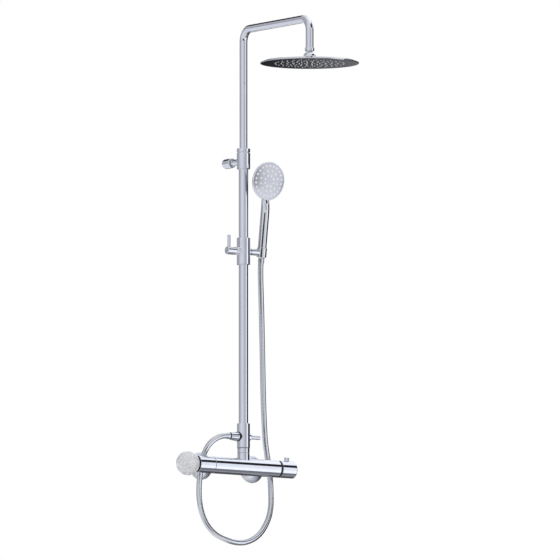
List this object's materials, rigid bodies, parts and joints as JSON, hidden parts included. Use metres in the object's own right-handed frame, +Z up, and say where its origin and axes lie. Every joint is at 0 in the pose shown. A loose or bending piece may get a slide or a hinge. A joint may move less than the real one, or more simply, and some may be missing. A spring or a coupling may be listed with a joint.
{
  "type": "rainfall shower column",
  "caption": "Wall-fixed thermostatic bar mixer with a telescopic riser, an overhead rain shower on a ball joint, and a hand shower on a sliding holder with its hose.",
  "frame": {"origin": "midpoint between the two inlet tails, on the finished wall", "axes": "+X along the mixer bar to the temperature handle, +Y into the wall along the inlet tails, +Z up along the riser"},
  "size_m": [0.3428, 0.551, 1.321],
  "materials": {
    "chrome": "polished",
    "chromed_tube": "polished",
    "polished_steel": "polished",
    "hose_steel": "polished, spirally ribbed",
    "chromed_shell": "chromed",
    "satin_plate": "satin",
    "brass": "machined",
    "steel": "machined",
    "white_polymer": "matt",
    "black_rubber": "matt",
    "pale_silicone": "matt",
    "crystal": "frosted, dimpled"
  },
  "bodies": {
    "column": {"valve_body": "chrome", "check_valves": "white_polymer", "flow_cartridge": "brass", "thermostat_cartridge": "brass", "temperature_stop_ring": "black_rubber", "union_nuts": "chrome", "sealing_washers": "black_rubber", "s_unions": "chrome", "wall_flanges": "chrome", "saddle_collar": "chrome", "column_nut": "chrome", "swivel_seal": "black_rubber", "diverter_body": "chrome", "diverter_cartridge": "brass", "hose_outlet_nut": "chrome", "hose_ferrule": "chrome", "shower_hose": "hose_steel", "riser_tube": "chromed_tube", "grub_screws": "steel", "bracket_sleeve": "chrome", "bracket_stem": "chrome", "bracket_cover": "chrome", "wall_boss": "steel"},
    "flow_control": {"flow_spindle": "brass", "flow_handle": "chrome", "ball_knob": "crystal", "knob_stud": "brass"},
    "temperature_control": {"temperature_spindle": "brass", "temperature_handle": "chrome", "button_spring": "steel"},
    "safety_button": {"safety_button": "chrome"},
    "diverter_control": {"diverter_knob": "chrome"},
    "slider": {"slider_sleeve": "chrome", "slider_bush": "white_polymer", "brake_shoe": "black_rubber", "holder_pivot": "steel", "pivot_washer": "black_rubber"},
    "slider_lock": {"lock_knob": "chrome", "lock_lever": "chrome"},
    "holder": {"holder_cup": "chrome"},
    "hose_end": {"hose_end_fitting": "brass"},
    "handset": {"cone_nut": "chrome", "handset_washer": "black_rubber", "handset_shell": "chromed_shell", "spray_plate": "satin_plate", "spray_nozzles": "pale_silicone"},
    "height_collar": {"lock_collar": "chrome"},
    "arm_collet": {"gland_collet": "white_polymer"},
    "overhead_arm": {"overhead_tube": "chromed_tube", "guide_bush": "white_polymer", "tube_seals": "black_rubber", "ball_stud": "chrome"},
    "ball_swivel": {"ball_seat": "white_polymer"},
    "rain_head": {"ball_cap": "chrome", "ball_seal": "black_rubber", "rain_pan": "polished_steel", "rain_face": "polished_steel", "rain_nozzle_mat": "pale_silicone"}
  },
  "joints": [
    {"name": "flow_handle_turn", "type": "hinge", "parent": "column", "child": "flow_control", "pos_m": [-0.092, -0.086, -0.006], "axis": [1, 0, 0], "range_deg": [0, 90]},
    {"name": "temperature_handle_turn", "type": "hinge", "parent": "column", "child": "temperature_control", "pos_m": [0.1, -0.086, -0.006], "axis": [1, 0, 0], "range_deg": [-150, 60]},
    {"name": "button_press", "type": "slide", "parent": "temperature_control", "child": "safety_button", "axis": [0, 0, -1], "range_m": [0, 0.003], "stiffness_N_per_m": 800, "springref_m": -0.002, "deforming": ["button_spring"]},
    {"name": "diverter_turn", "type": "hinge", "parent": "column", "child": "diverter_control", "pos_m": [0.017, -0.086, 0.0705], "axis": [1, 0, 0], "range_deg": [0, 90]},
    {"name": "slider_slide", "type": "slide", "parent": "column", "child": "slider", "axis": [0, 0, 1], "range_m": [-0.395, 0.17], "deforming": ["shower_hose"]},
    {"name": "slider_lock_turn", "type": "hinge", "parent": "slider", "child": "slider_lock", "pos_m": [-0.023, -0.086, 0.543], "axis": [1, 0, 0], "range_deg": [0, 90]},
    {"name": "holder_tilt", "type": "hinge", "parent": "slider", "child": "holder", "pos_m": [0.054, -0.086, 0.543], "axis": [1, 0, 0], "range_deg": [-2, 40], "deforming": ["shower_hose"]},
    {"name": "handset_lift", "type": "slide", "parent": "holder", "child": "hose_end", "axis": [0, -0.1564, 0.9877], "range_m": [0, 0.04], "deforming": ["shower_hose"]},
    {"name": "handset_spin", "type": "hinge", "parent": "hose_end", "child": "handset", "pos_m": [0.054, -0.086, 0.543], "axis": [0, -0.1564, 0.9877], "range_deg": [-3, 90]},
    {"name": "height_collar_turn", "type": "hinge", "parent": "column", "child": "height_collar", "pos_m": [0, -0.086, 0.8], "axis": [0, 0, 1], "range_deg": [0, 90]},
    {"name": "arm_swivel", "type": "hinge", "parent": "column", "child": "arm_collet", "pos_m": [0, -0.086, 0.798], "axis": [0, 0, 1], "range_deg": [-45, 45]},
    {"name": "arm_height", "type": "slide", "parent": "arm_collet", "child": "overhead_arm", "axis": [0, 0, 1], "range_m": [-0.25, 0.06]},
    {"name": "rain_head_swivel", "type": "hinge", "parent": "overhead_arm", "child": "ball_swivel", "pos_m": [0, -0.411, 1.0125], "axis": [0, 0, 1], "continuous": true},
    {"name": "rain_head_tilt", "type": "hinge", "parent": "ball_swivel", "child": "rain_head", "pos_m": [0, -0.411, 1.0125], "axis": [1, 0, 0], "range_deg": [-15, 15]}
  ]
}
